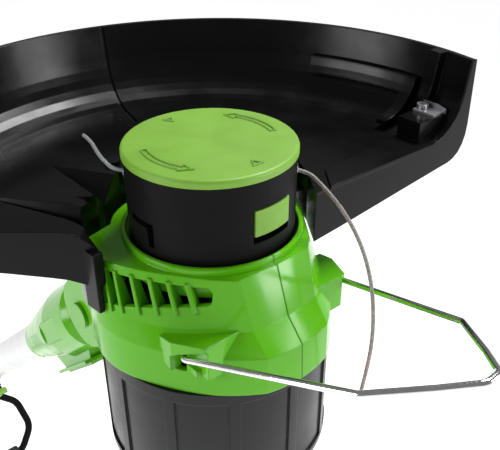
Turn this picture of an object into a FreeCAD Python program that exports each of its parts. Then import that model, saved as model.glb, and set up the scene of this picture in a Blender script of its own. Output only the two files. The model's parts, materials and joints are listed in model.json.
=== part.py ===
import FreeCAD, Part
import math
import os

V = FreeCAD.Vector

# String trimmer, stored head up: +X forward, +Y to the operator's right in use, +Z out of
# the spool cap (down to the ground in use). Origin at the centre of the cap's outer face.

# spool head
CAP_R = 43.0
CAP_T = 4.0
DRUM_R_TOP = 42.4
DRUM_R_LOW = 41.9
DRUM_IN_R = 40.0
DRUM_TOP = -4.05
DRUM_FLOOR = -48.0
DRUM_BASE = -50.5
WINDOW_Y = (-8.2, 15.2)
WINDOW_Z = (-36.0, -18.0)
TAB_Y = (-7.7, 14.7)
TAB_Z = (-32.0, -18.5)
TAB_R = 42.7
CLIP_X = (-9.0, 8.5)
CLIP_Z = (-40.5, -27.5)
LINE_R = 1.0
LINE_Z = -15.3
LINE_ANGLE = 52.0
EYELET_BORE = 1.95
EYELET_R = 3.1
SPOOL_R = 34.5
SPOOL_BORE = 12.0
SPOOL_CORE = 16.0
SPOOL_TOP = -12.0
SPOOL_LOW = -44.0
WIND_R = 30.5
POST_R = 8.5
SHAFT_R = 4.0
SHAFT_BORE = 4.05

# motor housing
LIP_Z = -43.5
LIP_R_IN = 43.7
LIP_R_OUT = 46.3
WELL_Z = -56.0
HOUSE_WALL = 2.8
HOUSE_SECTIONS = (
    (-47.0, ((47.0, 22.0), (38.5, 30.5), (29.7, 37.4), (10.8, 50.6), (-4.0, 58.0),
             (-17.0, 60.3), (-20.6, 56.6), (-31.0, 54.7), (-35.0, 39.0), (-41.0, 34.0),
             (-49.0, 20.0), (-52.0, 0.0)), 48.5),
    (-72.0, ((55.0, 20.5), (47.0, 31.5), (38.0, 40.4), (18.0, 54.2), (2.0, 61.5),
             (-14.0, 63.0), (-24.0, 60.0), (-34.0, 54.0), (-46.0, 44.0), (-53.0, 34.0),
             (-58.5, 20.0), (-61.0, 0.0)), 57.0),
    (-83.0, ((64.5, 20.0), (55.5, 31.5), (45.0, 41.5), (25.0, 55.2), (6.0, 63.0),
             (-13.0, 64.3), (-26.0, 60.5), (-37.0, 54.0), (-49.0, 44.0), (-57.0, 33.0),
             (-62.5, 20.0), (-65.5, 0.0)), 67.0),
    (-104.0, ((65.0, 20.0), (57.0, 31.5), (47.0, 42.0), (27.0, 55.5), (9.5, 63.2),
              (-12.0, 64.8), (-26.0, 61.0), (-38.0, 54.0), (-50.0, 44.0), (-58.0, 33.0),
              (-63.5, 20.0), (-66.5, 0.0)), 68.0),
)
LOUVRE_FROM = (39.5, -32.3)
LOUVRE_DIR = (-0.863, -0.506)
LOUVRE_OUT = (0.506, -0.863)
LOUVRE_HOLE = ((-0.5, -53.5), (1.5, -51.4), (53.0, -51.4), (55.0, -55.0), (54.0, -68.6),
               (43.0, -66.6), (22.0, -62.6), (1.0, -59.4), (-0.5, -58.0))
FIN_STARTS = (12.6, 21.6, 30.8, 40.0, 49.2, 55.6)
FIN_LEAN = -5.2
FIN_PROUD = 1.2
FIN_T = 1.8
BOSS_OUT = 53.4
BOSS_IN = 15.0
BOSS_XZ = ((51.3, -71.0), (26.0, -74.5), (26.0, -88.0), (34.0, -91.0), (51.3, -91.0))
BOSS_PLAN = ((20.0, 10.0), (20.0, 53.4), (35.0, 53.4), (51.3, 45.6), (51.3, 10.0))
GUIDE_PIVOT = (36.8, -82.6)
GUIDE_SLOT_Y = 44.5
GUIDE_LEG_Y = 51.1
GUIDE_POCKET_R = 9.0

# motor
BARREL_R = 63.3
BARREL_WALL = 2.5
BARREL_TOP = -104.3
BARREL_LOW = -176.0
PANELS = 12
CAN_R = 36.0

# guard
DECK_Z = -30.0
DECK_T = 3.0
BOWL_R = 128.3
BOWL_FILLET = 30.0
BOWL_DRAFT = 10.0
GUARD_WALL = 3.0
WALL_TOP = 15.0
LIP_TOP = -14.0
EDGE_R = ((33.2, 34.0), (37.4, 139.0))
EDGE_L = ((-8.0, -63.0), (-132.6, -206.5))
FIT_GAP = 1.3
GUARD_SCREWS = ((-64.0, 18.0), (-64.0, -18.0))
WALL_FROM = 68.0
WALL_TO = 205.0
LIP_TO = 252.0
CREASE_AT = 166.5
GUARD_RAMPS = (((-85.0, -45.0), (-42.0, -18.0), (-24.0, -44.0)),
               ((-80.0, -90.0), (-24.0, -46.0), (-12.0, -60.0)))
RAMP_DEPTH = 16.0
RIB_PROUD = 6.0
CUTTER_SCREW = (17.5, 144.0)
LEFT_RISE = ((-3.0, -41.0), (0.0, -38.5), (2.5, -36.0), (6.4, -33.2), (10.5, -31.0),
             (15.5, -30.0))

# wire edge guide
WIRE_R = 1.6

# shaft line: t runs from the head to the rear, n is up in use
SHAFT_Z0 = -60.0
SHAFT_COS = 0.7570
SHAFT_SIN = 0.6534
PIVOT_T = 150.0
PIVOT_R = 24.0
PIN_R = 4.98
KNUCKLE_Y = 12.9
CHEEK_Y = (13.3, 26.0)
LOW_TUBE_R = 17.0
LOW_TUBE_BORE = 15.2
UP_TUBE_R = 15.12
UP_TUBE_BORE = 13.3
LOW_TUBE_T = (216.0, 640.0)
UP_TUBE_T = (500.0, 905.0)
LOCK_T = (625.0, 675.0)
LEVER_PIVOT = (650.0, 29.0)
GRIP_T = 832.0
STRAP_HOLE = (867.0, 32.0)
HANDLE_HALF_Y = 19.0
HANDLE_WALL = 3.0
TRIGGER_PIVOT = (969.0, 14.0)

# outlines and cord runs
HANDLE_OUTLINE = [(882.0, -21.0), (882.0, 21.0), (930.0, 26.0), (985.0, 38.0), (1040.0, 45.0),
                  (1100.0, 42.0), (1140.0, 32.0), (1172.0, 30.0), (1172.0, -66.0),
                  (1120.0, -70.0), (1050.0, -62.0), (985.0, -47.0), (930.0, -28.0)]
FINGER_HOLE = [(968.0, -12.0), (980.0, 3.0), (1020.0, 10.0), (1100.0, 9.0), (1126.0, -4.0),
               (1132.0, -26.0), (1118.0, -44.0), (1060.0, -42.0), (990.0, -27.0)]
HANDLE_SCREWS = ((902.0, -13.0), (958.0, 20.0), (1050.0, -52.0), (1146.0, -58.0), (1148.0, 20.0))
LINE_FRONT = [(20.3, 26.0, -15.3), (28.6, 36.6, -16.2), (41.5, 37.5, -22.2),
              (54.5, 38.2, -30.3), (66.5, 37.8, -42.0), (75.5, 36.2, -56.0),
              (81.0, 34.4, -73.0), (82.6, 33.6, -92.0), (80.4, 34.4, -112.0),
              (76.6, 36.4, -131.0)]
LINE_BACK = [(-20.3, -26.0, -15.3), (-28.4, -36.4, -15.6), (-41.6, -36.0, -13.6),
             (-54.0, -32.0, -14.8), (-66.0, -28.4, -14.0), (-77.5, -26.0, -15.6)]


def cyl(r, z0, z1, x=0.0, y=0.0):
    return Part.makeCylinder(r, z1 - z0, V(x, y, z0))


def rod(r, start, end):
    a = V(*start)
    b = V(*end)
    return Part.makeCylinder(r, (b - a).Length, a, b - a)


def box(x, y, z):
    return Part.makeBox(x[1] - x[0], y[1] - y[0], z[1] - z[0], V(x[0], y[0], z[0]))


def face_of(points):
    return Part.Face(Part.makePolygon(points + points[:1]))


def prism_z(points, z0, z1):
    return face_of([V(x, y, z0) for x, y in points]).extrude(V(0, 0, z1 - z0))


def prism_y(points, y0, y1):
    return face_of([V(x, y0, z) for x, z in points]).extrude(V(0, y1 - y0, 0))


def spin(profile, angle=360.0, start=0.0):
    shape = face_of([V(r, 0, z) for r, z in profile]).revolve(V(0, 0, 0), V(0, 0, 1), angle)
    shape.rotate(V(0, 0, 0), V(0, 0, 1), start)
    return shape


def turned(shape, angle):
    copy = shape.copy()
    copy.rotate(V(0, 0, 0), V(0, 0, 1), angle)
    return copy


def mirrored(shape):
    return shape.mirror(V(0, 0, 0), V(0, 1, 0))


def joined(shapes):
    total = shapes[0]
    for shape in shapes[1:]:
        total = total.fuse(shape)
    return total.removeSplitter()


def offset_polygon(points, w):
    area = sum(points[i - 1][0] * points[i][1] - points[i][0] * points[i - 1][1]
               for i in range(len(points)))
    sign = 1.0 if area > 0 else -1.0
    moved = []
    for i in range(len(points)):
        ax, ay = points[i - 1]
        bx, by = points[i]
        cx, cy = points[(i + 1) % len(points)]
        l1 = math.hypot(bx - ax, by - ay)
        l2 = math.hypot(cx - bx, cy - by)
        n1 = (sign * (by - ay) / l1, -sign * (bx - ax) / l1)
        n2 = (sign * (cy - by) / l2, -sign * (cx - bx) / l2)
        k = w / (1.0 + n1[0] * n2[0] + n1[1] * n2[1])
        moved.append((bx + k * (n1[0] + n2[0]), by + k * (n1[1] + n2[1])))
    return moved


def to_shaft(shape):
    m = FreeCAD.Matrix(-SHAFT_COS, 0, SHAFT_SIN, 0,
                       0, 1, 0, 0,
                       -SHAFT_SIN, 0, -SHAFT_COS, SHAFT_Z0,
                       0, 0, 0, 1)
    placed = shape.copy()
    placed.Placement = FreeCAD.Placement(m).multiply(placed.Placement)
    return placed


def along_t(r, t0, t1, n=0.0, y=0.0):
    return Part.makeCylinder(r, t1 - t0, V(t0, y, n), V(1, 0, 0))


def along_y(r, y0, y1, t, n):
    return Part.makeCylinder(r, y1 - y0, V(t, y0, n), V(0, 1, 0))


def spin_t(profile):
    shape = face_of([V(t, 0, r) for t, r in profile])
    return shape.revolve(V(0, 0, 0), V(1, 0, 0), 360.0)


def coil(r, wire, pitch, height, base, axis):
    reach = r / math.cos(math.radians(22.5))
    points = []
    for i in range(int(8.0 * height / pitch) + 1):
        a = math.radians(45.0 * i)
        points.append((reach * math.cos(a), reach * math.sin(a), pitch * i / 8.0))
    shape = tube(points, wire)
    shape.Placement = FreeCAD.Placement(base, FreeCAD.Rotation(V(0, 0, 1), axis))
    return shape


def save(name, shape):
    shape.exportStep("parts/" + name + ".step")


def cord_path(points):
    edges = []
    last = points[0]
    for i in range(1, len(points) - 1):
        before = points[i - 1] - points[i]
        after = points[i + 1] - points[i]
        half_turn = (math.pi - before.getAngle(after)) / 2.0
        run = min(before.Length, after.Length)
        radius = 0.45 * run / math.tan(half_turn)
        cut = 0.45 * run
        d1 = V(before).normalize()
        d2 = V(after).normalize()
        middle = (d1 + d2).normalize()
        centre = points[i] + middle * (radius / math.cos(half_turn))
        start = points[i] + d1 * cut
        end = points[i] + d2 * cut
        top = centre - middle * radius
        edges.append(Part.LineSegment(last, start).toShape())
        edges.append(Part.Arc(start, top, end).toShape())
        last = end
    edges.append(Part.LineSegment(last, points[-1]).toShape())
    return Part.Wire(edges)


def tube(points, r):
    path = cord_path([V(*p) for p in points])
    start = V(*points[0])
    ring = Part.Wire(Part.Circle(start, V(*points[1]) - start, r).toShape())
    return path.makePipeShell([ring], True, True)


def cord(points, r):
    path = cord_path([V(*p) for p in points])
    shape = tube(points, r)
    ideal = math.pi * r * r * path.Length
    print("length %.1f volume ratio %.4f" % (path.Length, shape.Volume / ideal))
    return shape


# ---------------------------------------------------------------- spool head

def spool_cap():
    disc = cyl(CAP_R, -CAP_T, 0.0)
    disc = disc.makeFillet(1.7, [e for e in disc.Edges if abs(e.CenterOfMass.z) < 0.1
                                 and len(e.Vertexes) == 1])
    skirt = cyl(39.6, -9.0, -CAP_T + 0.5).cut(cyl(38.1, -9.0, -CAP_T))
    boss = cyl(9.0, -10.5, -CAP_T + 0.5).cut(cyl(6.5, -10.5, -CAP_T))
    gap = box((-60.0, 60.0), (-11.0, 18.0), (-9.5, -CAP_T))
    gap = gap.common(cyl(60.0, -10.0, -CAP_T).cut(cyl(30.0, -10.0, -CAP_T)))
    gap_front = gap.common(box((0.0, 60.0), (-60.0, 60.0), (-10.0, 0.0)))
    skirt = skirt.cut(gap_front).cut(turned(gap_front, 180.0))
    return joined([disc, skirt, boss])


def cap_latch(angle):
    pad = cyl(TAB_R, TAB_Z[0], TAB_Z[1]).cut(cyl(39.3, TAB_Z[0], TAB_Z[1]))
    pad = pad.common(box((0.0, 60.0), TAB_Y, TAB_Z))
    arm = cyl(39.6, TAB_Z[0], -4.3).cut(cyl(38.0, TAB_Z[0], -4.3))
    arm = arm.common(box((0.0, 60.0), TAB_Y, (TAB_Z[0], -4.3)))
    return turned(joined([pad, arm]), angle)


def line_holes(r, inner, outer):
    holes = []
    for turn in (0.0, 180.0):
        a = math.radians(LINE_ANGLE + turn)
        c = math.cos(a)
        s = math.sin(a)
        holes.append(rod(r, (inner * c, inner * s, LINE_Z), (outer * c, outer * s, LINE_Z)))
    return holes


def spool_housing():
    drum = spin([(SHAFT_BORE, DRUM_BASE), (DRUM_R_LOW - 1.0, DRUM_BASE), (DRUM_R_LOW, -49.5),
                 (DRUM_R_TOP, DRUM_TOP), (DRUM_IN_R, DRUM_TOP), (DRUM_IN_R, DRUM_FLOOR),
                 (POST_R, DRUM_FLOOR), (POST_R, -22.0), (SHAFT_BORE, -22.0)])
    window = box((30.0, 60.0), WINDOW_Y, WINDOW_Z)
    clip = box(CLIP_X, (-60.0, -30.0), CLIP_Z)
    cuts = [window, turned(window, 180.0), clip, turned(clip, 180.0)]
    cuts += line_holes(EYELET_R + 0.02, 35.0, 50.0)
    for cut in cuts:
        drum = drum.cut(cut)
    return drum


def housing_clips():
    block = prism_y([(-8.4, -40.0), (5.2, -40.0), (4.2, -30.5), (-8.4, -30.5)], -60.0, -30.0)
    block = block.common(cyl(42.3, -48.0, -20.0).cut(cyl(38.3, -48.0, -20.0)))
    wedge = box((-20.0, 20.0), (-3.0, 3.0), (-20.0, 0.0))
    wedge.rotate(V(0, 0, 0), V(1, 0, 0), -22.0)
    wedge.translate(V(0.0, -44.2, -20.0))
    block = block.cut(wedge)
    leg = cyl(39.9, DRUM_FLOOR, -38.0).cut(cyl(38.3, DRUM_FLOOR, -38.0))
    leg = leg.common(box((-8.4, 5.0), (-60.0, -30.0), (DRUM_FLOOR, -38.0)))
    clip = joined([block, leg])
    return Part.makeCompound([clip, turned(clip, 180.0)])


def line_eyelets():
    sleeves = line_holes(EYELET_R, 39.2, 42.5)
    bores = line_holes(EYELET_BORE, 35.0, 50.0)
    return Part.makeCompound([sleeve.cut(bore) for sleeve, bore in zip(sleeves, bores)])


def line_spool():
    return spin([(SPOOL_BORE, SPOOL_LOW), (SPOOL_R, SPOOL_LOW), (SPOOL_R, SPOOL_LOW + 2.0),
                 (SPOOL_CORE, SPOOL_LOW + 2.0), (SPOOL_CORE, SPOOL_TOP - 2.0),
                 (SPOOL_R, SPOOL_TOP - 2.0), (SPOOL_R, SPOOL_TOP), (9.4, SPOOL_TOP),
                 (9.4, SPOOL_TOP - 3.0), (SPOOL_BORE, SPOOL_TOP - 3.0)])


def line_winding():
    low = SPOOL_LOW + 2.1
    rows = 13
    step = (SPOOL_TOP - 2.1 - low) / rows
    profile = [(SPOOL_CORE + 0.05, low)]
    for i in range(rows):
        profile.append((WIND_R - 0.7, low + i * step))
        profile.append((WIND_R, low + (i + 0.5) * step))
    profile.append((WIND_R - 0.7, low + rows * step))
    profile.append((SPOOL_CORE + 0.05, low + rows * step))
    return spin(profile)


def feed_spring():
    return coil(10.3, 0.7, 5.2, 26.0, V(0, 0, -46.9), V(0, 0, 1))


def drive_hub():
    hub = cyl(9.0, -64.0, -50.6).fuse(cyl(22.0, -53.4, -50.6))
    return hub.cut(cyl(SHAFT_BORE, -70.0, -50.0)).removeSplitter()


def arbor_nut():
    points = [(7.2 * math.cos(math.radians(60 * i)), 7.2 * math.sin(math.radians(60 * i)))
              for i in range(6)]
    return prism_z(points, -21.9, -17.0).cut(cyl(SHAFT_BORE, -23.0, -16.0))


# ---------------------------------------------------------------- motor housing

def house_wire(z, points, front, w):
    half = [V(x - w * x / math.hypot(x, y), y - w * y / math.hypot(x, y), z)
            for x, y in points[:-1]]
    back = V(points[-1][0] + w, 0.0, z)
    other = [V(p.x, -p.y, z) for p in half]
    flank = Part.BSplineCurve()
    flank.interpolate(half[:6])
    far = Part.BSplineCurve()
    far.interpolate(list(reversed(other[:6])))
    tail = Part.BSplineCurve()
    tail.interpolate(half[8:] + [back] + list(reversed(other[8:])))
    edges = [flank.toShape(),
             Part.LineSegment(half[5], half[6]).toShape(),
             Part.LineSegment(half[6], half[7]).toShape(),
             Part.LineSegment(half[7], half[8]).toShape(),
             tail.toShape(),
             Part.LineSegment(other[8], other[7]).toShape(),
             Part.LineSegment(other[7], other[6]).toShape(),
             Part.LineSegment(other[6], other[5]).toShape(),
             far.toShape(),
             Part.Arc(other[0], V(front - w, 0.0, z), half[0]).toShape()]
    return Part.Wire(edges)


def house_form(w):
    wires = [house_wire(z, points, front, w) for z, points, front in HOUSE_SECTIONS]
    return Part.makeLoft(wires, True, True)


def section_at(z):
    for i in range(len(HOUSE_SECTIONS) - 1):
        z0, upper, front0 = HOUSE_SECTIONS[i]
        z1, lower, front1 = HOUSE_SECTIONS[i + 1]
        if z0 >= z >= z1:
            k = (z0 - z) / (z0 - z1)
            return [(a[0] + k * (b[0] - a[0]), a[1] + k * (b[1] - a[1]))
                    for a, b in zip(upper, lower)]


def outline_at(z, w):
    half = section_at(z)
    points = half + [(x, -y) for x, y in reversed(half[:-1])]
    return offset_polygon(points, w)


def louvre_prism(points, near, far):
    ox, oy = LOUVRE_FROM
    dx, dy = LOUVRE_DIR
    nx, ny = LOUVRE_OUT
    base = [V(ox + dx * s + nx * near, oy + dy * s + ny * near, z) for s, z in points]
    return face_of(base).extrude(V(nx * (far - near), ny * (far - near), 0))


def louvre_fins():
    fins = []
    for s in FIN_STARTS:
        low = -61.5 - 0.165 * s
        points = [(s, -49.8), (s - FIN_T, -49.8), (s - FIN_T + FIN_LEAN, low),
                  (s + FIN_LEAN, low)]
        fins.append(louvre_prism(points, -1.8, 12.0).common(house_form(-FIN_PROUD)))
    return fins


def guide_fan(y0, y1):
    px, pz = GUIDE_PIVOT
    points = [(px - 3.0, pz + 0.5), (px + 1.0, pz + 3.4), (px + 16.0, pz + 8.9),
              (px + 22.0, pz - 4.0), (px + 18.0, pz - 30.0), (px - 3.0, pz - 30.0)]
    return prism_y(points, y0, y1)


def wire_boss():
    boss = prism_y(BOSS_XZ, BOSS_IN, BOSS_OUT).common(prism_z(BOSS_PLAN, -95.0, -65.0))
    return boss.cut(guide_fan(GUIDE_SLOT_Y, BOSS_OUT + 5.0))


def wire_socket():
    return along_y(4.6, 36.0, GUIDE_SLOT_Y, *GUIDE_PIVOT)


def wire_rest():
    return box((38.0, 46.0), (40.0, 47.2), (-91.5, -87.2))


def wire_seat():
    pocket = guide_fan(GUIDE_SLOT_Y, BOSS_OUT + 5.0)
    pocket = pocket.common(along_y(GUIDE_POCKET_R, 40.0, 60.0, *GUIDE_PIVOT))
    return pocket.fuse(along_y(WIRE_R + 0.06, 30.0, 60.0, *GUIDE_PIVOT))


def neck():
    px = -SHAFT_COS * PIVOT_T
    pz = SHAFT_Z0 - SHAFT_SIN * PIVOT_T
    outline = [(-50.0, -60.0), (-67.0, -62.0), (px - 18.8, pz + 14.9), (px + 22.1, pz - 9.2),
               (-66.5, -103.8), (-50.0, -103.8)]
    body = prism_y(outline, -CHEEK_Y[1], CHEEK_Y[1])
    body = body.fuse(along_y(PIVOT_R, -CHEEK_Y[1], CHEEK_Y[1], px, pz))
    for x, y in GUARD_SCREWS:
        body = body.fuse(cyl(5.5, -62.0, DECK_Z - DECK_T - 0.2, x, y))
        body = body.cut(cyl(2.3, -53.0, DECK_Z, x, y))
    body = body.cut(along_y(38.0, -CHEEK_Y[0], CHEEK_Y[0], px, pz))
    room = [(-50.0, -64.0), (-65.0, -66.0), (-88.0, -95.0), (-92.0, -122.0), (-84.0, -128.0),
            (-68.0, -101.0), (-50.0, -101.0)]
    body = body.cut(prism_y(room, -22.0, 22.0))
    body = body.cut(along_y(PIN_R + 0.02, -40.0, 40.0, px, pz))
    return body.cut(along_y(11.5, 17.5, 40.0, px, pz))


def housing_shell():
    outer = house_form(0.0)
    inner = house_form(HOUSE_WALL)
    inner = inner.common(box((-200.0, 200.0), (-200.0, 200.0), (-110.0, -50.0)))
    shell = joined([outer, wire_boss(), mirrored(wire_boss()), neck()])
    shell = shell.cut(inner)
    for part in (wire_socket(), mirrored(wire_socket())):
        shell = shell.fuse(part)
    for part in (wire_seat(), mirrored(wire_seat())):
        shell = shell.cut(part)
    for part in (wire_rest(), mirrored(wire_rest())):
        shell = shell.fuse(part)
    shell = shell.cut(prism_z([(-80.0, -26.2), (20.0, -26.2), (20.0, 26.2), (-80.0, 26.2)],
                              -110.0, -103.99))
    cup = spin([(14.0, WELL_Z - 3.0), (LIP_R_OUT, WELL_Z - 3.0), (LIP_R_OUT, LIP_Z - 0.6),
                (LIP_R_OUT - 0.8, LIP_Z), (LIP_R_IN + 0.5, LIP_Z), (LIP_R_IN, LIP_Z - 0.6),
                (LIP_R_IN, WELL_Z), (14.0, WELL_Z)])
    shell = shell.cut(cyl(LIP_R_OUT - 0.2, -60.0, 0.0))
    shell = shell.fuse(cup)
    shell = shell.cut(louvre_prism(LOUVRE_HOLE, -8.0, 12.0).cut(cyl(LIP_R_OUT, -70.0, -40.0)))
    for fin in louvre_fins():
        shell = shell.fuse(fin.cut(cyl(LIP_R_OUT - 0.5, -80.0, -40.0)))
    groove = prism_y([(x, z) for x, z in ((40.0, -40.0), (90.0, -40.0), (90.0, -110.0),
                                          (40.0, -110.0))], -0.22, 0.22)
    groove = groove.cut(house_form(1.2))
    return shell.cut(groove)


def half(shape, side):
    far = 2000.0
    span = (0.0, far) if side > 0 else (-far, 0.0)
    return shape.common(box((-far, far), span, (-far, far)))


def motor_barrel():
    r = BARREL_R
    w = BARREL_WALL
    barrel = spin([(r, BARREL_TOP), (r, BARREL_LOW), (r - 4.0, BARREL_LOW - 9.0),
                   (r - 13.0, BARREL_LOW - 15.0), (0.0, BARREL_LOW - 20.0),
                   (0.0, BARREL_LOW - 17.5), (r - 14.0, BARREL_LOW - 12.5),
                   (r - w - 4.0, BARREL_LOW - 7.5), (r - w, BARREL_LOW), (r - w, BARREL_TOP)])
    for i in range(PANELS):
        panel = spin([(r - 1.1, BARREL_LOW + 4.0), (r + 1.0, BARREL_LOW + 4.0),
                      (r + 1.0, BARREL_TOP - 7.0), (r - 1.1, BARREL_TOP - 7.0)],
                     360.0 / PANELS - 5.0, 360.0 / PANELS * i + 2.5)
        barrel = barrel.cut(panel)
        slot = box((22.0, 44.0), (-2.0, 2.0), (BARREL_LOW - 30.0, BARREL_LOW - 8.0))
        barrel = barrel.cut(turned(slot, 360.0 / PANELS * i))
    return barrel


def motor_plate():
    plate = cyl(56.0, -98.0, -95.0).cut(cyl(11.05, -99.0, -94.0))
    for i in range(8):
        plate = plate.cut(cyl(7.0, -99.0, -94.0, 46.0 * math.cos(math.radians(45 * i + 22.5)),
                              46.0 * math.sin(math.radians(45 * i + 22.5))))
    for i in range(4):
        plate = plate.cut(cyl(2.1, -99.0, -94.0, 24.0 * math.cos(math.radians(90 * i + 45)),
                              24.0 * math.sin(math.radians(90 * i + 45))))
    return plate


def motor_screws():
    screws = []
    for i in range(4):
        x = 24.0 * math.cos(math.radians(90 * i + 45))
        y = 24.0 * math.sin(math.radians(90 * i + 45))
        screws.append(cyl(2.0, -100.2, -94.9, x, y).fuse(cyl(3.8, -94.9, -92.6, x, y)))
    return Part.makeCompound(screws)


def motor_can():
    can = cyl(CAN_R, -171.0, -98.1).fuse(cyl(12.5, -177.0, -168.0))
    can = can.cut(cyl(CAN_R - 2.0, -168.0, -101.0)).cut(cyl(13.0, -102.0, -98.0))
    can = can.cut(cyl(9.52, -176.0, -166.0)).cut(cyl(6.0, -180.0, -166.0))
    for i in range(4):
        x = 24.0 * math.cos(math.radians(90 * i + 45))
        y = 24.0 * math.sin(math.radians(90 * i + 45))
        can = can.cut(cyl(2.05, -102.0, -98.0, x, y))
    return can.removeSplitter()


def motor_magnets():
    arcs = []
    for i in range(4):
        arcs.append(spin([(31.0, -156.0), (33.95, -156.0), (33.95, -106.0), (31.0, -106.0)],
                         78.0, 90.0 * i + 6.0))
    return Part.makeCompound(arcs)


def bearings():
    low = cyl(11.0, -99.5, -93.0).cut(cyl(SHAFT_BORE, -100.0, -92.0))
    high = cyl(9.5, -175.9, -170.0).cut(cyl(SHAFT_BORE, -177.0, -169.0))
    return Part.makeCompound([low, high])


def brushes():
    pair = []
    for side in (-1.0, 1.0):
        span = (10.4, 33.6) if side > 0 else (-33.6, -10.4)
        pair.append(box((-3.5, 3.5), span, (-167.0, -160.0)))
    return Part.makeCompound(pair)


def motor_shaft():
    return cyl(SHAFT_R, -174.0, -16.2)


def rotor_core():
    core = cyl(29.5, -150.0, -110.0).cut(cyl(SHAFT_R, -160.0, -100.0))
    for i in range(12):
        core = core.cut(turned(box((20.0, 31.0), (-1.5, 1.5), (-151.0, -109.0)), 30.0 * i))
    return core


def rotor_windings():
    upper = spin([(SHAFT_BORE, -109.9), (26.5, -109.9), (24.0, -103.5), (8.0, -102.5),
                  (SHAFT_BORE, -104.0)])
    lower = spin([(SHAFT_BORE, -150.1), (26.5, -150.1), (24.0, -156.5), (8.0, -157.5),
                  (SHAFT_BORE, -156.0)])
    return Part.makeCompound([upper, lower])


def commutator():
    body = cyl(10.0, -167.5, -158.0).cut(cyl(SHAFT_BORE, -168.0, -157.0))
    for i in range(12):
        body = body.cut(turned(box((9.2, 11.0), (-0.3, 0.3), (-168.0, -157.0)), 30.0 * i))
    return body


def cooling_fan():
    fan = cyl(40.0, -86.0, -84.0).fuse(cyl(10.0, -88.0, -68.0))
    for i in range(9):
        blade = box((9.0, 39.5), (-1.0, 1.0), (-84.5, -70.0))
        blade.rotate(V(24.0, 0, 0), V(0, 0, 1), 14.0)
        fan = fan.fuse(turned(blade, 40.0 * i))
    return fan.cut(cyl(SHAFT_BORE, -90.0, -60.0)).removeSplitter()


# ---------------------------------------------------------------- guard

def bowl_arc(radius, end):
    points = []
    steps = 8
    for i in range(steps + 1):
        a = math.radians(-90.0 + (90.0 - end) * i / steps)
        points.append((BOWL_R + radius * math.cos(a), DECK_Z + BOWL_FILLET
                       + radius * math.sin(a)))
    return points


def bowl_curve(radius, top):
    """The bowl's section at that distance from its fillet's centre, up to a height."""
    centre = DECK_Z + BOWL_FILLET
    draft = math.radians(BOWL_DRAFT)
    if top < centre - radius * math.sin(draft):
        return bowl_arc(radius, math.degrees(math.asin((centre - top) / radius)))
    points = bowl_arc(radius, BOWL_DRAFT)
    r, z = points[-1]
    points.append((r + (top - z) * math.tan(draft), top))
    return points


def guard_profile(top):
    outer = bowl_curve(BOWL_FILLET + GUARD_WALL, top)
    inner = bowl_curve(BOWL_FILLET, top)
    return [(36.0, DECK_Z - DECK_T)] + outer + inner[::-1] + [(36.0, DECK_Z)]


def bowl():
    outer = bowl_curve(BOWL_FILLET + GUARD_WALL - 0.5, WALL_TOP)
    return spin([(0.0, DECK_Z - DECK_T + 0.5)] + outer + [(0.0, WALL_TOP)])


def guard_plan(z0, z1):
    rx0, ry0 = EDGE_R[0]
    rx1, ry1 = EDGE_R[1]
    slope = (rx1 - rx0) / (ry1 - ry0)
    points = [(rx0 - 0.5 - slope * 10.0, ry0 - 10.0), (rx0 - 0.5 + slope * 160.0, ry0 + 160.0),
              (-220.0, ry0 + 160.0), (-220.0, EDGE_L[1][1]), EDGE_L[1],
              EDGE_L[0], (-2.0, -56.0), (-2.0, 24.0)]
    return prism_z(points, z0, z1)


def flange_right():
    rx0, ry0 = EDGE_R[0]
    rx1, ry1 = EDGE_R[1]
    outline = [(37.0, -30.2), (123.0, -30.0), (131.0, -29.1), (138.0, -26.5), (144.0, -22.5),
               (149.0, -16.9), (152.0, -11.5), (153.9, -5.2), (157.5, WALL_TOP),
               (160.6, WALL_TOP), (161.4, -24.0), (160.8, -30.5), (159.0, -36.0),
               (156.0, -40.4), (151.8, -43.4), (147.0, -44.9), (142.0, -45.4),
               (106.3, -49.9), (60.3, -55.8), (37.0, -58.4)]
    plate = face_of([V(rx0 - 3.0, y, z) for y, z in outline]).extrude(V(3.0, 0, 0))
    plate.rotate(V(rx0, ry0, 0), V(0, 0, 1), -math.degrees(math.atan2(rx1 - rx0, ry1 - ry0)))
    return plate


def on_left_edge(outline, inward, width):
    dx = EDGE_L[1][0] - EDGE_L[0][0]
    dy = EDGE_L[1][1] - EDGE_L[0][1]
    length = math.hypot(dx, dy)
    dx = dx / length
    dy = dy / length
    base = [V(EDGE_L[0][0] + dx * s + dy * inward, EDGE_L[0][1] + dy * s - dx * inward, z)
            for s, z in outline]
    return face_of(base).extrude(V(dy * width, -dx * width, 0))


def left_corner():
    outline = [(-3.0, -58.0)] + list(LEFT_RISE) + [(24.0, -30.0), (24.0, -55.3), (6.4, -58.0)]
    return on_left_edge(outline, 0.0, 18.0)


def above_left_corner():
    outline = [(-40.0, -41.0)] + list(LEFT_RISE) + [(15.5, 30.0), (-40.0, 30.0)]
    return on_left_edge(outline, -6.0, 40.0)


def flange_left():
    outline = list(LEFT_RISE[1:])
    outline += [(70.0, -30.0), (76.0, -29.5), (85.0, -26.5), (92.0, -21.6), (98.0, LIP_TOP),
                (101.2, LIP_TOP), (101.0, -26.0), (98.0, -37.0), (92.0, -44.5), (82.0, -49.5),
                (43.0, -53.0), (15.5, -56.4), (6.4, -59.4), (0.0, -62.0)]
    return on_left_edge(outline, 0.0, 3.0)


def ramp(tip, left, right, top, low):
    a = V(tip[0], tip[1], top)
    b = V(left[0], left[1], top)
    c = V(right[0], right[1], top)
    d = V((left[0] + right[0]) / 2.0, (left[1] + right[1]) / 2.0, low)
    faces = [face_of([a, b, c]), face_of([a, b, d]), face_of([b, c, d]), face_of([c, a, d])]
    solid = Part.Solid(Part.Shell(faces))
    if solid.Volume < 0:
        solid.reverse()
    return solid


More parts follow.
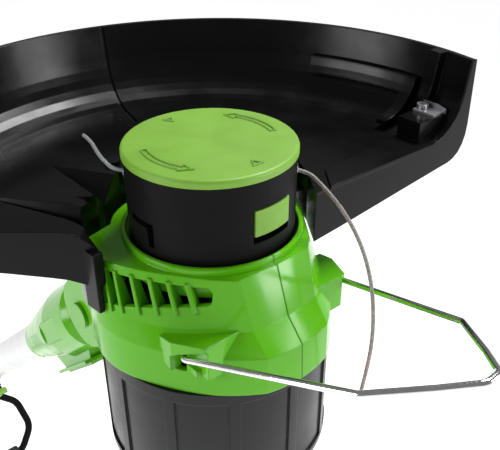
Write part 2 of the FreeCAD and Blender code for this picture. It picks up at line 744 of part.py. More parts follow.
def ramp_skin(corners):
    cx = sum(x for x, y in corners) / 3.0
    cy = sum(y for x, y in corners) / 3.0
    grown = [(x + 0.22 * (x - cx), y + 0.22 * (y - cy)) for x, y in corners]
    return ramp(*grown, DECK_Z - 0.1, DECK_Z - RAMP_DEPTH - 4.0)


def ramp_hollow(corners):
    return ramp(*corners, DECK_Z + 0.1, DECK_Z - RAMP_DEPTH)


def wall_crease():
    outline = [(BOWL_R - 20.0, DECK_Z - 1.0)] + bowl_curve(BOWL_FILLET + 1.0, WALL_TOP + 1.0)
    outline.append((BOWL_R - 20.0, WALL_TOP + 1.0))
    return spin(outline, 0.8, CREASE_AT)


def rim_band():
    band = prism_z([(34.2, 50.0), (37.6, 148.0), (13.0, 148.0), (14.5, 124.0), (18.5, 62.0)],
                   DECK_Z - 0.5, DECK_Z + 1.6)
    return band.common(bowl())


def cutter_block():
    block = prism_z([(14.0, 127.0), (29.5, 127.0), (31.0, 153.0), (14.0, 155.0)],
                    DECK_Z - 0.5, -17.0)
    return block.common(bowl()).cut(cyl(1.9, -22.6, -10.0, *CUTTER_SCREW))


def wall_rib(low, top, width, start):
    """An upright rib that follows the bowl's section between two heights."""
    wall = bowl_curve(BOWL_FILLET + 0.5, top)
    face = bowl_curve(BOWL_FILLET - RIB_PROUD, top)
    rib = spin(wall + face[::-1], width, start)
    return rib.common(cyl(300.0, low, top + 1.0))


def arch_rib():
    turn = wall_rib(-12.0, -3.0, 26.0, 90.2)
    post = wall_rib(-27.0, -3.0, 3.0, 88.4)
    bar = wall_rib(-11.5, WALL_TOP, 3.0, 83.4)
    return [turn, post, bar]


def guard():
    body = spin(guard_profile(WALL_TOP), WALL_TO - WALL_FROM, WALL_FROM)
    body = body.fuse(spin(guard_profile(LIP_TOP), LIP_TO - WALL_TO, WALL_TO))
    body = body.cut(wall_crease())
    for corners in GUARD_RAMPS:
        body = body.fuse(ramp_skin(corners))
    body = body.fuse(box((8.0, 40.0), (30.0, 100.0), (DECK_Z - DECK_T, DECK_Z)))
    for piece in arch_rib():
        body = body.fuse(piece)
    body = body.common(guard_plan(-80.0, 40.0))
    for piece in (rim_band(), cutter_block(), flange_right(), flange_left()):
        body = body.fuse(piece)
    sleeve = prism_z(outline_at(-58.0, FIT_GAP + 3.0), -58.0, DECK_Z)
    plan = guard_plan(-80.0, 0.0)
    body = body.fuse(sleeve.common(plan)).cut(above_left_corner()).fuse(left_corner())
    for corners in GUARD_RAMPS:
        body = body.cut(ramp_hollow(corners))
    tab = prism_z(outline_at(-72.0, FIT_GAP + 3.0), -73.0, -40.0)
    tab = tab.common(box((-26.0, -4.5), (-80.0, -50.0), (-73.0, -40.0)))
    body = body.fuse(tab)
    body = body.cut(prism_z(outline_at(-58.0, FIT_GAP), -58.1, 20.0))
    body = body.cut(prism_z(outline_at(-73.0, FIT_GAP), -90.0, -58.0))
    body = body.cut(cyl(48.0, -60.0, 30.0))
    for x, y in GUARD_SCREWS:
        body = body.cut(cyl(2.3, -40.0, -20.0, x, y))
    return body


def guard_screws():
    return Part.makeCompound([cyl(2.25, -52.0, -29.9, x, y).fuse(cyl(4.2, -29.9, -27.6, x, y))
                              for x, y in GUARD_SCREWS])


def line_cutter():
    foot = box((14.6, 29.4), (139.0, 149.6), (-16.95, -15.45))
    blade = box((14.6, 30.6), (148.4, 149.6), (-16.95, -12.5))
    edge = box((10.0, 60.0), (145.0, 155.0), (-8.0, 8.0))
    edge.rotate(V(0, 0, 0), V(0, 1, 0), 12.0)
    edge.translate(V(0.0, 0.0, 0.8))
    shape = joined([foot, blade]).cut(edge)
    return shape.cut(cyl(1.9, -30.0, 0.0, *CUTTER_SCREW))


def cutter_screw():
    x, y = CUTTER_SCREW
    screw = cyl(1.85, -22.4, -15.3, x, y).fuse(cyl(3.4, -15.4, -12.8, x, y))
    return screw.cut(box((x - 0.4, x + 0.4), (y - 2.5, y + 2.5), (-13.6, -12.0)))


# ---------------------------------------------------------------- wire edge guide

def edge_guide():
    x, z = GUIDE_PIVOT
    right = [(x, 37.0, z), (x, GUIDE_LEG_Y, z), (128.5, 33.0, -50.0), (150.0, 15.6, -42.5),
             (162.5, 4.2, -38.1)]
    left = [(px, -py, pz) for px, py, pz in reversed(right)]
    points = [V(*p) for p in right + left]
    path = bent_path(points, 5.0)
    ring = Part.Wire(Part.Circle(points[0], V(0, 1, 0), WIRE_R).toShape())
    return path.makePipeShell([ring], True, True)


def bent_path(points, bend):
    edges = []
    last = points[0]
    for i in range(1, len(points) - 1):
        before = points[i - 1] - points[i]
        after = points[i + 1] - points[i]
        half_turn = (math.pi - before.getAngle(after)) / 2.0
        cut = min(bend * math.tan(half_turn), 0.45 * min(before.Length, after.Length))
        radius = cut / math.tan(half_turn)
        d1 = V(before).normalize()
        d2 = V(after).normalize()
        middle = (d1 + d2).normalize()
        centre = points[i] + middle * (radius / math.cos(half_turn))
        start = points[i] + d1 * cut
        end = points[i] + d2 * cut
        edges.append(Part.LineSegment(last, start).toShape())
        edges.append(Part.Arc(start, centre - middle * radius, end).toShape())
        last = end
    edges.append(Part.LineSegment(last, points[-1]).toShape())
    return Part.Wire(edges)


# ---------------------------------------------------------------- tilt joint and tubes

def tilt_arm():
    sleeve = spin_t([(180.0, 0.0), (180.0, 24.0), (186.0, 28.5), (232.0, 29.5), (258.0, 27.0),
                     (296.0, 22.5), (318.0, 20.2), (326.0, 19.8), (330.0, 18.4), (330.0, 0.0)])
    knuckle = along_y(20.0, -KNUCKLE_Y, KNUCKLE_Y, PIVOT_T, 0.0)
    bar = box((PIVOT_T, 184.0), (-KNUCKLE_Y, KNUCKLE_Y), (-18.0, 18.0))
    skid = prism_y([(196.0, 20.0), (206.0, 36.0), (262.0, 36.0), (276.0, 20.0)], -15.0, 15.0)
    ledge = box((200.0, 268.0), (-21.0, 21.0), (31.0, 33.5))
    body = joined([sleeve, knuckle, bar, skid, ledge])
    body = body.cut(along_t(LOW_TUBE_R, LOW_TUBE_T[0], 400.0))
    body = body.cut(along_t(20.0, 186.0, LOW_TUBE_T[0] - 4.0))
    body = body.cut(along_y(5.05, -20.0, 20.0, PIVOT_T, 0.0))
    for side in (-1.0, 1.0):
        span = (27.0, 40.0) if side > 0 else (-40.0, -27.0)
        body = body.cut(box((206.0, 246.0), span, (-9.0, 9.0)))
    return body


def pivot_pin():
    pin = along_y(PIN_R, -26.0, 17.3, PIVOT_T, 0.0)
    return pin.fuse(along_y(9.0, -28.6, -26.0, PIVOT_T, 0.0)).removeSplitter()


def pivot_button():
    button = along_y(11.0, 21.6, 31.0, PIVOT_T, 0.0)
    button = button.makeFillet(1.5, [e for e in button.Edges if e.CenterOfMass.y > 30.9])
    return button.cut(along_y(7.5, 21.0, 25.0, PIVOT_T, 0.0))


def button_spring():
    return coil(6.2, 0.6, 1.9, 5.7, V(PIVOT_T, 18.3, 0.0), V(0, 1, 0))


def lower_tube():
    tube = along_t(LOW_TUBE_R, *LOW_TUBE_T)
    return tube.cut(along_t(LOW_TUBE_BORE, LOW_TUBE_T[0] - 1.0, LOW_TUBE_T[1] + 1.0))


def lock_collar():
    body = spin_t([(LOCK_T[0], 0.0), (LOCK_T[0], 19.5), (LOCK_T[0] + 4.0, 23.5),
                   (LOCK_T[1] - 4.0, 23.5), (LOCK_T[1], 20.0), (LOCK_T[1], 0.0)])
    for side in (-1.0, 1.0):
        span = (9.0, 14.0) if side > 0 else (-14.0, -9.0)
        ear = box((642.0, 658.0), span, (15.0, 29.0))
        body = body.fuse(ear).fuse(along_y(8.0, span[0], span[1], *LEVER_PIVOT))
    body = body.cut(along_t(LOW_TUBE_R, LOCK_T[0] - 1.0, LOW_TUBE_T[1]))
    body = body.cut(along_t(LOW_TUBE_BORE, LOCK_T[0] - 1.0, LOCK_T[1] + 1.0))
    return body.cut(along_y(2.52, -20.0, 20.0, *LEVER_PIVOT)).removeSplitter()


def lever_pin():
    pin = along_y(2.5, -15.2, 15.2, *LEVER_PIVOT)
    caps = along_y(4.4, -16.4, -14.4, *LEVER_PIVOT).fuse(along_y(4.4, 14.4, 16.4, *LEVER_PIVOT))
    return pin.fuse(caps).removeSplitter()


def lock_lever():
    t, n = LEVER_PIVOT
    eye = along_y(5.0, -8.7, 8.7, t, n)
    arm = prism_y([(t + 3.0, n + 4.0), (t - 4.0, n + 5.0), (t - 50.0, n + 0.5), (t - 56.0, n + 4.0),
                   (t - 54.0, n + 8.0), (t - 46.0, n + 6.0), (t - 4.0, n + 11.0),
                   (t + 4.0, n + 8.0)], -8.7, 8.7)
    lever = joined([eye, arm, box((t - 4.0, t + 3.0), (-8.7, 8.7), (n, n + 6.0))])
    return lever.cut(along_y(2.57, -20.0, 20.0, t, n))


# ---------------------------------------------------------------- handles

def upper_tube():
    tube = along_t(UP_TUBE_R, *UP_TUBE_T)
    return tube.cut(along_t(UP_TUBE_BORE, UP_TUBE_T[0] - 1.0, UP_TUBE_T[1] + 1.0))


def front_clamp():
    body = along_t(22.0, GRIP_T - 17.0, GRIP_T + 17.0)
    body = body.fuse(along_y(15.0, -24.0, 24.0, GRIP_T, 0.0))
    body = body.cut(along_t(UP_TUBE_R, GRIP_T - 20.0, GRIP_T + 20.0))
    return body.cut(along_y(4.1, 16.0, 30.0, GRIP_T, 0.0)).removeSplitter()


def handle_loop():
    points = [(29.65, 6.0), (30.2, 27.0), (66.0, 62.0), (70.0, 104.0), (44.0, 132.0)]
    ring = [V(GRIP_T, y, n) for y, n in points] + [V(GRIP_T, -y, n) for y, n in reversed(points)]
    path = bent_path(ring, 26.0)
    section = Part.Wire(Part.Circle(ring[0], ring[1] - ring[0], 5.0).toShape())
    return path.makePipeShell([section], True, True)


def front_handle():
    pieces = [handle_loop()]
    for side in (-1.0, 1.0):
        span = (24.4, 34.9) if side > 0 else (-34.9, -24.4)
        pieces.append(along_y(14.0, span[0], span[1], GRIP_T, 0.0))
    body = joined(pieces)
    body = body.cut(along_t(24.2, GRIP_T - 40.0, GRIP_T + 40.0))
    return body.cut(along_y(4.2, -40.0, 40.0, GRIP_T, 0.0))


def front_grip():
    grip = along_y(11.5, -40.0, 40.0, GRIP_T, 132.0)
    grip = grip.makeFillet(3.0, [e for e in grip.Edges
                                 if abs(abs(e.CenterOfMass.y) - 40.0) < 0.1])
    return grip.cut(handle_loop())


def handle_knob():
    knob = along_y(15.0, 35.3, 47.0, GRIP_T, 0.0)
    for i in range(8):
        a = math.radians(45 * i)
        knob = knob.cut(along_y(3.4, 32.0, 48.0, GRIP_T + 17.0 * math.cos(a),
                                17.0 * math.sin(a)))
    return knob.fuse(along_y(4.0, 17.5, 35.8, GRIP_T, 0.0)).removeSplitter()


def handle_stud():
    stud = along_y(4.15, -36.0, -24.1, GRIP_T, 0.0)
    return stud.fuse(along_y(10.0, -39.0, -35.3, GRIP_T, 0.0)).removeSplitter()


def strap_eye():
    t, n = STRAP_HOLE
    ring = along_t(19.0, t - 5.0, t + 5.0).cut(along_t(UP_TUBE_R, t - 7.0, t + 8.0))
    ear = box((t - 5.0, t + 5.0), (-3.0, 3.0), (16.0, n))
    ear = ear.fuse(along_y(9.0, -3.0, 3.0, t, n))
    body = joined([ring, ear.cut(along_t(UP_TUBE_R, t - 12.0, t + 13.0))])
    return body.cut(along_y(5.0, -5.0, 5.0, t, n))


def handle_shell():
    y = HANDLE_HALF_Y
    w = HANDLE_WALL
    body = prism_y(HANDLE_OUTLINE, -y, y)
    body = body.makeFillet(6.0, [e for e in body.Edges
                                 if abs(abs(e.CenterOfMass.y) - y) < 0.1
                                 and e.CenterOfMass.x < 1165.0])
    body = body.fuse(box((1164.0, 1176.0), (-34.0, 34.0), (-68.0, 32.0)))
    body = body.cut(prism_y(FINGER_HOLE, -y - 5.0, y + 5.0))
    room = prism_y(offset_polygon(HANDLE_OUTLINE, -w), -y + w, y - w)
    room = room.cut(prism_y(offset_polygon(FINGER_HOLE, w), -y, y))
    room = room.cut(along_t(21.0, 870.0, 912.0))
    body = body.cut(room)
    body = body.cut(along_t(UP_TUBE_R, 870.0, UP_TUBE_T[1] + 0.1))
    body = body.cut(along_t(UP_TUBE_BORE, 870.0, 930.0))
    body = body.cut(box((972.0, 1019.0), (-7.5, 7.5), (-14.0, 16.0)))
    body = body.cut(box((996.0, 1012.0), (-6.2, 6.2), (34.0, 50.0)))
    body = body.cut(along_y(2.52, -y - 1.0, y + 1.0, *TRIGGER_PIVOT))
    for t, n in HANDLE_SCREWS:
        body = body.cut(along_y(3.05, y - 1.65, y + 1.0, t, n))
        body = body.cut(along_y(1.52, y - 10.0, y, t, n))
    rail = prism_z([(1175.5, -31.0), (1188.0, -31.0), (1188.0, -20.5), (1184.0, -20.5),
                    (1184.0, -26.5), (1175.5, -26.5)], -66.0, 28.0)
    return joined([body, rail, mirrored(rail)])


def grip_pad():
    y = 13.0
    band = prism_y(offset_polygon(HANDLE_OUTLINE, 1.6), -y, y).cut(
        prism_y(offset_polygon(HANDLE_OUTLINE, 0.02), -y - 1.0, y + 1.0))
    band = band.common(box((1018.0, 1128.0), (-y, y), (25.0, 60.0)))
    return band


def handle_screws():
    y = HANDLE_HALF_Y
    screws = []
    for t, n in HANDLE_SCREWS:
        screw = along_y(3.0, y - 1.6, y - 0.3, t, n).fuse(along_y(1.5, y - 9.0, y - 1.5, t, n))
        screws.append(screw.cut(box((t - 0.5, t + 0.5), (y - 0.9, y), (n - 2.4, n + 2.4))))
    return Part.makeCompound(screws)


def trigger():
    t, n = TRIGGER_PIVOT
    body = prism_y([(t - 5.0, n - 4.0), (t - 3.0, n + 5.0), (t + 44.0, n + 5.0), (t + 47.0, n - 1.0),
                    (t + 46.0, n - 8.0), (t + 42.0, n - 18.0), (t + 36.0, n - 20.5),
                    (t + 26.0, n - 17.5), (t + 16.0, n - 16.0), (t + 5.0, n - 8.0)], -7.0, 7.0)
    return body.fuse(along_y(2.45, -HANDLE_HALF_Y + 0.4, HANDLE_HALF_Y - 0.4, t, n))


def trigger_spring():
    return coil(3.2, 0.5, 2.2, 13.2, V(984.0, 0.0, 20.0), V(0, 0, 1))


def lock_button():
    body = box((996.6, 1011.4), (-5.8, 5.8), (34.0, 45.6))
    return body.fuse(box((994.0, 1014.0), (-8.0, 8.0), (32.5, 35.0))).removeSplitter()


def power_switch():
    body = box((1030.0, 1062.0), (-8.0, 8.0), (15.0, 33.0))
    return body.fuse(box((1024.0, 1030.0), (-3.0, 3.0), (17.0, 20.0))).removeSplitter()


def battery_terminals():
    blades = []
    for y in (-10.0, 0.0, 10.0):
        blades.append(box((1176.02, 1186.0), (y - 0.5, y + 0.5), (-20.0, -8.0)))
    return Part.makeCompound(blades)


def battery_pack():
    pack = box((1176.4, 1232.0), (-38.0, 38.0), (-68.0, 18.0))
    edges = [e for e in pack.Edges if e.CenterOfMass.x > 1190.0]
    pack = pack.makeFillet(5.0, edges)
    groove = prism_z([(1170.0, -31.5), (1188.6, -31.5), (1188.6, -20.0), (1183.4, -20.0),
                      (1183.4, -26.0), (1170.0, -26.0)], -80.0, 40.0)
    pack = pack.cut(groove).cut(mirrored(groove))
    for y in (-10.0, 0.0, 10.0):
        pack = pack.cut(box((1170.0, 1187.0), (y - 1.2, y + 1.2), (-80.0, -6.0)))
    return pack.cut(box((1200.0, 1216.4), (-12.4, 12.4), (10.0, 20.0)))


def battery_latch():
    return box((1200.4, 1216.0), (-12.0, 12.0), (14.0, 22.0))


def main():
    os.makedirs("parts", exist_ok=True)
    save("spool_cap", spool_cap())
    save("latch_front", cap_latch(0.0))
    save("latch_back", cap_latch(180.0))
    save("spool_housing", spool_housing())
    save("housing_clips", housing_clips())
    save("line_eyelets", line_eyelets())
    save("line_spool", line_spool())
    save("line_winding", line_winding())
    save("feed_spring", feed_spring())
    save("drive_hub", drive_hub())
    save("arbor_nut", arbor_nut())
    save("motor_shaft", motor_shaft())
    save("rotor_core", rotor_core())
    save("rotor_windings", rotor_windings())
    save("commutator", commutator())
    save("cooling_fan", cooling_fan())
    shell = housing_shell()
    save("housing_left", half(shell, -1.0))
    save("housing_right", half(shell, 1.0))
    save("motor_barrel", motor_barrel())
    save("motor_plate", motor_plate())
    save("motor_screws", motor_screws())
    save("motor_can", motor_can())
    save("motor_magnets", motor_magnets())
    save("bearings", bearings())
    save("brushes", brushes())
    save("guard", guard())
    save("guard_screws", guard_screws())
    save("line_cutter", line_cutter())
    save("cutter_screw", cutter_screw())
    save("edge_guide", edge_guide())
    arm = tilt_arm()
    save("collar_left", to_shaft(half(arm, -1.0)))
    save("collar_right", to_shaft(half(arm, 1.0)))
    save("pivot_pin", to_shaft(pivot_pin()))
    save("pivot_button", to_shaft(pivot_button()))
    save("button_spring", to_shaft(button_spring()))
    save("lower_tube", to_shaft(lower_tube()))
    save("lock_collar", to_shaft(lock_collar()))
    save("lever_pin", to_shaft(lever_pin()))
    save("lock_lever", to_shaft(lock_lever()))
    save("upper_tube", to_shaft(upper_tube()))
    save("front_clamp", to_shaft(front_clamp()))
    save("front_handle", to_shaft(front_handle()))
    save("front_grip", to_shaft(front_grip()))
    save("handle_knob", to_shaft(handle_knob()))
    save("handle_stud", to_shaft(handle_stud()))
    save("strap_eye", to_shaft(strap_eye()))
    rear = handle_shell()
    save("handle_left", to_shaft(half(rear, -1.0)))
    save("handle_right", to_shaft(half(rear, 1.0)))
    save("handle_screws", to_shaft(handle_screws()))
    save("grip_pad", to_shaft(grip_pad()))
    save("trigger", to_shaft(trigger()))
    save("trigger_spring", to_shaft(trigger_spring()))
    save("lock_button", to_shaft(lock_button()))
    save("power_switch", to_shaft(power_switch()))
    save("battery_terminals", to_shaft(battery_terminals()))
    save("battery_pack", to_shaft(battery_pack()))
    save("battery_latch", to_shaft(battery_latch()))
    save("line_front", cord(LINE_FRONT, LINE_R))
    save("line_back", cord(LINE_BACK, LINE_R))
    print("cord radius line_front %.1f mm, line_back %.1f mm" % (LINE_R, LINE_R))


main()
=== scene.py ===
import bpy
import json
import math
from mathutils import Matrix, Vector


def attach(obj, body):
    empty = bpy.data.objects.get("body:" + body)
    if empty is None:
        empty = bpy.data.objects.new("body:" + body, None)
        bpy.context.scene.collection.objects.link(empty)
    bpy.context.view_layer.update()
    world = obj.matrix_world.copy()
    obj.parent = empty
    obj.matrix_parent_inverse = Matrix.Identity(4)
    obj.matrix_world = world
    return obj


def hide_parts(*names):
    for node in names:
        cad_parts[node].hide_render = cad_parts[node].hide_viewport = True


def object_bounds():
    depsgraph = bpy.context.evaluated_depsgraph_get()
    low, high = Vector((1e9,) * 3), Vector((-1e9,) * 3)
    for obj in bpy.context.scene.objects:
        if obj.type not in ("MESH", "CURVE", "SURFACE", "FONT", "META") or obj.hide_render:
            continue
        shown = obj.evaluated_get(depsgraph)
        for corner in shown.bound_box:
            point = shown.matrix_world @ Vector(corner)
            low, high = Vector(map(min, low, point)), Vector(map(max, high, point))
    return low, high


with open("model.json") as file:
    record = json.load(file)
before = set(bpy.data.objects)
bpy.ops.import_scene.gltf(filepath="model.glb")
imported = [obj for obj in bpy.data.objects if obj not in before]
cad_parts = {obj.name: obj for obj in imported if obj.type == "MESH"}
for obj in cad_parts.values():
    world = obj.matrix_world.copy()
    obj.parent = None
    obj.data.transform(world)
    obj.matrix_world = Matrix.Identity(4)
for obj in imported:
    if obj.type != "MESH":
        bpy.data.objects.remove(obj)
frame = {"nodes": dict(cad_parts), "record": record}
cad_box = [list(corner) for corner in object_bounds()]

MM = 0.001

# camera, in metres and degrees
CAMERA_PLACE = (0.2515, -0.1933, 0.1416)
CAMERA_AZIMUTH = 49.0
CAMERA_DOWN = 30.8
CAMERA_LENS = 51.84
CAMERA_SENSOR = 36.0
CAMERA_CLIP = (0.01, 20.0)

# studio, in metres and watts: name, place, size, power
WORLD_STRENGTH = 0.2
FLOOR_SIZE = 30.0
FLOOR_GAP = 0.002
FLOOR_GREY = 0.93
FLOOR_GLOW = 0.8
LAMP_TARGET = (0.0, 0.0, -0.06)
LAMPS = (
    ("key", (-0.12, 0.56, 0.9), (0.45, 0.3), 14.0),
    ("front_right", (0.8, 0.5, 0.12), (0.3, 0.6), 6.0),
    ("front_left", (-0.25, -1.0, 0.22), (0.5, 0.5), 7.0),
)

# trimmer line, the same points as the CAD routes
LINE_D = 0.002
LINE_FRONT = [(20.3, 26.0, -15.3), (28.6, 36.6, -16.2), (41.5, 37.5, -22.2),
              (54.5, 38.2, -30.3), (66.5, 37.8, -42.0), (75.5, 36.2, -56.0),
              (81.0, 34.4, -73.0), (82.6, 33.6, -92.0), (80.4, 34.4, -112.0),
              (76.6, 36.4, -131.0)]
LINE_BACK = [(-20.3, -26.0, -15.3), (-28.4, -36.4, -15.6), (-41.6, -36.0, -13.6),
             (-54.0, -32.0, -14.8), (-66.0, -28.4, -14.0), (-77.5, -26.0, -15.6)]

# raised marks on the cap face
MARK_R = 32.4 * MM
MARK_START = -111.0
MARK_NECK = -63.0
MARK_TIP = -50.0
MARK_HALF = 1.9 * MM
HEAD_HALF = 3.8 * MM
MARK_RIM = ((0.0, -0.1 * MM), (0.2 * MM, 0.7 * MM), (0.75 * MM, 0.7 * MM),
            (0.95 * MM, 0.05 * MM))
TRIANGLE_TIP_R = 29.4 * MM
TRIANGLE_BASE_R = 35.2 * MM
TRIANGLE_HALF = 3.3 * MM
ARROW_STEPS = 14
SHARPEST_MITRE = 0.35


# ---------------------------------------------------------------- camera and light

def camera():
    data = bpy.data.cameras.new("camera")
    data.lens = CAMERA_LENS
    data.sensor_width = CAMERA_SENSOR
    data.clip_start, data.clip_end = CAMERA_CLIP
    cam = bpy.data.objects.new("camera", data)
    bpy.context.scene.collection.objects.link(cam)
    a = math.radians(CAMERA_AZIMUTH)
    e = math.radians(CAMERA_DOWN)
    forward = Vector((-math.sin(a) * math.cos(e), math.cos(a) * math.cos(e), -math.sin(e)))
    cam.location = CAMERA_PLACE
    cam.rotation_mode = "QUATERNION"
    cam.rotation_quaternion = forward.to_track_quat("-Z", "Y")
    bpy.context.scene.camera = cam


def area_light(name, place, target, size, power):
    data = bpy.data.lights.new(name, "AREA")
    data.shape = "RECTANGLE"
    data.size = size[0]
    data.size_y = size[1]
    data.energy = power
    lamp = bpy.data.objects.new(name, data)
    bpy.context.scene.collection.objects.link(lamp)
    lamp.location = place
    aim = Vector(target) - Vector(place)
    lamp.rotation_mode = "QUATERNION"
    lamp.rotation_quaternion = aim.to_track_quat("-Z", "Y")


def studio():
    scene = bpy.context.scene
    scene.view_settings.view_transform = "Standard"
    scene.view_settings.look = "None"
    world = bpy.data.worlds.new("studio")
    scene.world = world
    world.use_nodes = True
    sky = world.node_tree.nodes["Background"]
    sky.inputs["Color"].default_value = (1.0, 1.0, 1.0, 1.0)
    sky.inputs["Strength"].default_value = WORLD_STRENGTH
    for name, place, size, power in LAMPS:
        area_light(name, place, LAMP_TARGET, size, power)


def floor():
    low = cad_box[0][2]
    bpy.ops.mesh.primitive_plane_add(size=FLOOR_SIZE, location=(0.0, 0.0, low - FLOOR_GAP))
    plane = bpy.context.object
    plane.name = "floor"
    mat = bpy.data.materials.new("floor_paper")
    mat.use_nodes = True
    shader = mat.node_tree.nodes["Principled BSDF"]
    shader.inputs["Base Color"].default_value = (*[FLOOR_GREY] * 3, 1.0)
    shader.inputs["Roughness"].default_value = 0.9
    shader.inputs["Emission Color"].default_value = (1.0, 1.0, 1.0, 1.0)
    shader.inputs["Emission Strength"].default_value = FLOOR_GLOW
    plane.data.materials.append(mat)


# ---------------------------------------------------------------- materials

class Surface:
    """A procedural surface: a colour that varies, a roughness that varies, and bumps."""

    def __init__(self, name, colour, rough, metallic=0.0, coat=0.0, coat_rough=0.05):
        self.mat = bpy.data.materials.new(name)
        self.mat.use_nodes = True
        self.tree = self.mat.node_tree
        self.shader = self.tree.nodes["Principled BSDF"]
        self.shader.inputs["Base Color"].default_value = (*colour, 1.0)
        self.shader.inputs["Roughness"].default_value = rough
        self.shader.inputs["Metallic"].default_value = metallic
        self.shader.inputs["Coat Weight"].default_value = coat
        self.shader.inputs["Coat Roughness"].default_value = coat_rough
        self.colour = colour
        self.place = self.tree.nodes.new("ShaderNodeTexCoord").outputs["Object"]
        self.normal = None

    def node(self, kind, **sockets):
        made = self.tree.nodes.new(kind)
        for key, value in sockets.items():
            made.inputs[key].default_value = value
        return made

    def link(self, a, b):
        self.tree.links.new(a, b)

    def noise(self, scale, detail=3.0, stretch=(1.0, 1.0, 1.0)):
        mapping = self.node("ShaderNodeMapping")
        mapping.inputs["Scale"].default_value = stretch
        self.link(self.place, mapping.inputs["Vector"])
        made = self.node("ShaderNodeTexNoise", Scale=scale, Detail=detail)
        self.link(mapping.outputs["Vector"], made.inputs["Vector"])
        return made.outputs["Fac"]

    def spread(self, fac, low, high, to_low, to_high):
        made = self.tree.nodes.new("ShaderNodeMapRange")
        values = (low, high, to_low, to_high)
        for key, value in zip(("From Min", "From Max", "To Min", "To Max"), values):
            made.inputs[key].default_value = value
        self.link(fac, made.inputs["Value"])
        return made.outputs["Result"]

    def tint(self, fac, low, high):
        """The colour goes from low to high times itself as fac goes from 0.3 to 0.7."""
        ramp = self.tree.nodes.new("ShaderNodeValToRGB")
        ends = ramp.color_ramp.elements
        ends[0].position = 0.3
        ends[1].position = 0.7
        ends[0].color = (*[c * low for c in self.colour], 1.0)
        ends[1].color = (*[c * high for c in self.colour], 1.0)
        self.link(fac, ramp.inputs["Fac"])
        self.link(ramp.outputs["Color"], self.shader.inputs["Base Color"])

    def roughen(self, fac, low, high):
        result = self.spread(fac, 0.3, 0.7, low, high)
        self.link(result, self.shader.inputs["Roughness"])

    def bump(self, height, strength, distance):
        made = self.node("ShaderNodeBump", Strength=strength, Distance=distance)
        self.link(height, made.inputs["Height"])
        if self.normal:
            self.link(self.normal, made.inputs["Normal"])
        self.normal = made.outputs["Normal"]
        self.link(self.normal, self.shader.inputs["Normal"])

    def soften(self, radius):
        """Rounds the look of moulded edges."""
        made = self.node("ShaderNodeBevel", Radius=radius)
        made.samples = 4
        self.normal = made.outputs["Normal"]
        self.link(self.normal, self.shader.inputs["Normal"])


def matte_plastic(name, colour, rough=0.5, grain=1800.0, depth=0.00004, edge=0.0006,
                  shine=0.5):
    s = Surface(name, colour, rough)
    s.shader.inputs["Specular IOR Level"].default_value = shine
    s.soften(edge)
    s.tint(s.noise(35.0), 0.93, 1.07)
    s.roughen(s.noise(60.0), rough - 0.06, rough + 0.08)
    s.bump(s.noise(grain, 4.0), 0.35, depth)
    return s.mat


def gloss_plastic(name, colour, rough=0.2, coat=0.3, edge=0.0008, shine=0.5):
    s = Surface(name, colour, rough, coat=coat, coat_rough=0.06)
    s.shader.inputs["Specular IOR Level"].default_value = shine
    s.soften(edge)
    s.tint(s.noise(18.0), 0.95, 1.05)
    s.roughen(s.noise(45.0), rough - 0.05, rough + 0.07)
    s.bump(s.noise(130.0, 2.0), 0.06, 0.0002)
    s.bump(s.noise(2200.0, 3.0), 0.08, 0.00003)
    return s.mat


def metal(name, colour, rough, stretch, scale=900.0, edge=0.0003):
    s = Surface(name, colour, rough, metallic=1.0)
    s.soften(edge)
    s.tint(s.noise(40.0), 0.94, 1.04)
    s.roughen(s.noise(scale, 3.0, stretch), max(rough - 0.08, 0.03), rough + 0.12)
    s.bump(s.noise(scale, 3.0, stretch), 0.12, 0.00003)
    return s.mat


def rubber(name, colour):
    s = Surface(name, colour, 0.75)
    s.soften(0.0008)
    s.tint(s.noise(60.0), 0.85, 1.2)
    s.roughen(s.noise(90.0), 0.65, 0.88)
    cells = s.node("ShaderNodeTexVoronoi", Scale=700.0)
    s.link(s.place, cells.inputs["Vector"])
    s.bump(cells.outputs["Distance"], 0.5, 0.0002)
    return s.mat


def winding(name, colour):
    s = Surface(name, colour, 0.3, metallic=1.0)
    wave = s.node("ShaderNodeTexWave", Scale=500.0, Distortion=1.5)
    s.link(s.place, wave.inputs["Vector"])
    s.tint(wave.outputs["Fac"], 0.7, 1.1)
    s.bump(wave.outputs["Fac"], 0.6, 0.0003)
    s.roughen(s.noise(200.0), 0.22, 0.4)
    return s.mat


def nylon(name, colour):
    s = Surface(name, colour, 0.5)
    s.tint(s.noise(900.0, 3.0), 0.6, 1.5)
    s.roughen(s.noise(500.0), 0.4, 0.65)
    s.bump(s.noise(1600.0, 3.0), 0.5, 0.0001)
    s.shader.inputs["Subsurface Weight"].default_value = 0.1
    return s.mat


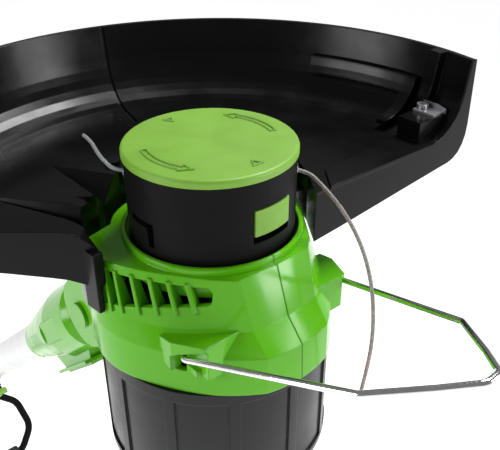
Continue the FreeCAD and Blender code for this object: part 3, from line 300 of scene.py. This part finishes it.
def materials():
    return {
        "cap_lime": matte_plastic("cap_lime", (0.165, 0.36, 0.028), 0.48, 2600.0, 0.00002),
        "housing_lime": gloss_plastic("housing_lime", (0.095, 0.40, 0.004), 0.15, 0.05, 0.0012,
                                      shine=0.32),
        "drum_black": matte_plastic("drum_black", (0.005, 0.005, 0.0052), 0.46, 1700.0,
                                    shine=0.08),
        "guard_black": gloss_plastic("guard_black", (0.003, 0.003, 0.0031), 0.22, 0.0, shine=0.17),
        "barrel_black": gloss_plastic("barrel_black", (0.006, 0.006, 0.0063), 0.3, 0.0,
                                      shine=0.25),
        "wire_chrome": metal("wire_chrome", (0.82, 0.82, 0.83), 0.1, (1.0, 1.0, 1.0)),
        "line_grey": nylon("line_grey", (0.2, 0.2, 0.2)),
        "steel": metal("steel", (0.30, 0.30, 0.31), 0.38, (1.0, 1.0, 6.0)),
        "magnet": matte_plastic("magnet", (0.05, 0.05, 0.055), 0.6, 1200.0, 0.0001),
        "copper": winding("copper", (0.75, 0.32, 0.14)),
        "brass": metal("brass", (0.78, 0.58, 0.26), 0.25, (1.0, 1.0, 8.0)),
        "tube_alu": metal("tube_alu", (0.74, 0.74, 0.75), 0.32, (8.0, 8.0, 1.0)),
        "grip_rubber": rubber("grip_rubber", (0.025, 0.025, 0.026)),
        "zinc": metal("zinc", (0.62, 0.62, 0.64), 0.3, (1.0, 1.0, 1.0), 1200.0),
        "pack_black": matte_plastic("pack_black", (0.02, 0.02, 0.021), 0.5, 1500.0),
    }


def dress_nodes(looks):
    slots = {part["node"]: part["material_slot"] for part in frame["record"]["subparts"]}
    for name, node in frame["nodes"].items():
        node.data.materials.clear()
        node.data.materials.append(looks[slots[name]])


# ---------------------------------------------------------------- pieces

def mesh_piece(name, verts, faces, body, look):
    mesh = bpy.data.meshes.new(name)
    mesh.from_pydata(verts, [], faces)
    mesh.validate()
    mesh.update()
    piece = bpy.data.objects.new(name, mesh)
    bpy.context.scene.collection.objects.link(piece)
    mesh.materials.append(look)
    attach(piece, body)


def line_end(name, points, look):
    curve = bpy.data.curves.new(name + "_run", "CURVE")
    curve.dimensions = "3D"
    spline = curve.splines.new("NURBS")
    spline.points.add(len(points) - 1)
    for point, place in zip(spline.points, points):
        point.co = (*[c * MM for c in place], 1.0)
    spline.order_u = 3
    spline.use_endpoint_u = True
    spline.resolution_u = 12
    curve.bevel_depth = LINE_D / 2.0
    curve.bevel_resolution = 5
    curve.use_fill_caps = True
    piece = bpy.data.objects.new(name + "_run", curve)
    bpy.context.scene.collection.objects.link(piece)
    curve.materials.append(look)
    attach(piece, "spool_head")
    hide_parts(name)


def raised(name, outline, look):
    """A mark on the cap: a low rim round its outline, with a flat sunk between."""
    count = len(outline)
    verts = []
    for amount, height in MARK_RIM:
        verts += [(x, y, height) for x, y in inset(outline, amount)]
    faces = [tuple(reversed(range(count)))]
    for ring in range(len(MARK_RIM) - 1):
        a = ring * count
        for i in range(count):
            j = (i + 1) % count
            faces.append((a + i, a + j, a + count + j, a + count + i))
    last = (len(MARK_RIM) - 1) * count
    faces.append(tuple(range(last, last + count)))
    mesh_piece(name, verts, faces, "spool_head", look)


def inset(outline, amount):
    """The outline moved inwards by amount; it runs anticlockwise."""
    moved = []
    count = len(outline)
    for i in range(count):
        before = Vector(outline[i - 1])
        here = Vector(outline[i])
        after = Vector(outline[(i + 1) % count])
        d1 = (here - before).normalized()
        d2 = (after - here).normalized()
        n1 = Vector((-d1.y, d1.x))
        n2 = Vector((-d2.y, d2.x))
        joint = n1 + n2
        joint = joint / max(joint.dot(n1), SHARPEST_MITRE)
        moved.append(tuple(here + joint * amount))
    return moved


def polar(r, degrees):
    a = math.radians(degrees)
    return (r * math.cos(a), r * math.sin(a))


def arrow_outline(turn):
    span = MARK_NECK - MARK_START
    angles = [MARK_START + span * i / ARROW_STEPS + turn
              for i in range(ARROW_STEPS + 1)]
    outer = [polar(MARK_R + MARK_HALF, a) for a in angles]
    inner = [polar(MARK_R - MARK_HALF, a) for a in reversed(angles)]
    neck = MARK_NECK + turn
    head = [polar(MARK_R + HEAD_HALF, neck), polar(MARK_R, MARK_TIP + turn),
            polar(MARK_R - HEAD_HALF, neck)]
    return outer + head + inner


def triangle_outline(turn):
    c = math.cos(math.radians(turn))
    s = math.sin(math.radians(turn))
    corners = [(TRIANGLE_TIP_R, 0.0), (TRIANGLE_BASE_R, -TRIANGLE_HALF),
               (TRIANGLE_BASE_R, TRIANGLE_HALF)]
    return [(x * c - y * s, x * s + y * c) for x, y in corners]


def cap_marks(look):
    for side, turn in (("front", 0.0), ("back", 180.0)):
        raised("cap_arrow_" + side, arrow_outline(turn), look)
        raised("cap_triangle_" + side, triangle_outline(turn), look)


camera()
looks = materials()
line_end("line_front", LINE_FRONT, looks["line_grey"])
line_end("line_back", LINE_BACK, looks["line_grey"])
studio()
floor()
dress_nodes(looks)
cap_marks(looks["cap_lime"])
